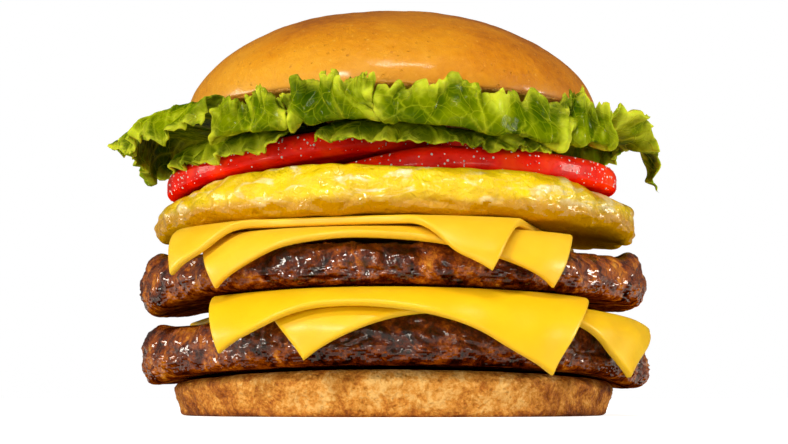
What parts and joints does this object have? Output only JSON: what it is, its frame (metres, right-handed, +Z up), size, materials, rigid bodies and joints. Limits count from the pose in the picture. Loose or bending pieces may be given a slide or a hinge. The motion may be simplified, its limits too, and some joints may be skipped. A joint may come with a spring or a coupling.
{
  "type": "double cheeseburger",
  "caption": "Double cheeseburger stacked with an egg patty, tomato slices, lettuce leaves and melted cheese in a round bun.",
  "frame": {"origin": "middle of the bounding box, on the plane that the bottom bun stands on", "axes": "+Z up through the stack, +X to the right and -Y towards the viewer of the picture"},
  "size_m": [0.1283, 0.1234, 0.0942],
  "materials": {
    "toasted_bun": "porous toasted crumb",
    "glazed_bun": "smooth glazed crust",
    "browned_meat": "coarse grilled surface, wet with fat",
    "cheese": "satin",
    "egg": "moist, folded",
    "tomato": "wet skin and flesh",
    "lettuce": "veined leaf with wet spots"
  },
  "bodies": {
    "root": {"bun_heel": "toasted_bun", "patty_lower": "browned_meat", "cheese_lower_under": "cheese", "cheese_lower_over": "cheese", "patty_upper": "browned_meat", "cheese_upper_under": "cheese", "cheese_upper_over": "cheese", "egg_patty": "egg", "tomato_right": "tomato", "tomato_left": "tomato", "lettuce_left": "lettuce", "lettuce_left_front": "lettuce", "lettuce_front_frill": "lettuce", "lettuce_front_broad": "lettuce", "lettuce_front_lower": "lettuce", "lettuce_left_lower": "lettuce", "lettuce_right_lower": "lettuce", "lettuce_right": "lettuce", "lettuce_right_fan": "lettuce", "lettuce_rear_right": "lettuce", "lettuce_rear": "lettuce", "lettuce_rear_left": "lettuce", "lettuce_left_rear": "lettuce", "bun_crown": "glazed_bun"}
  },
  "joints": []
}
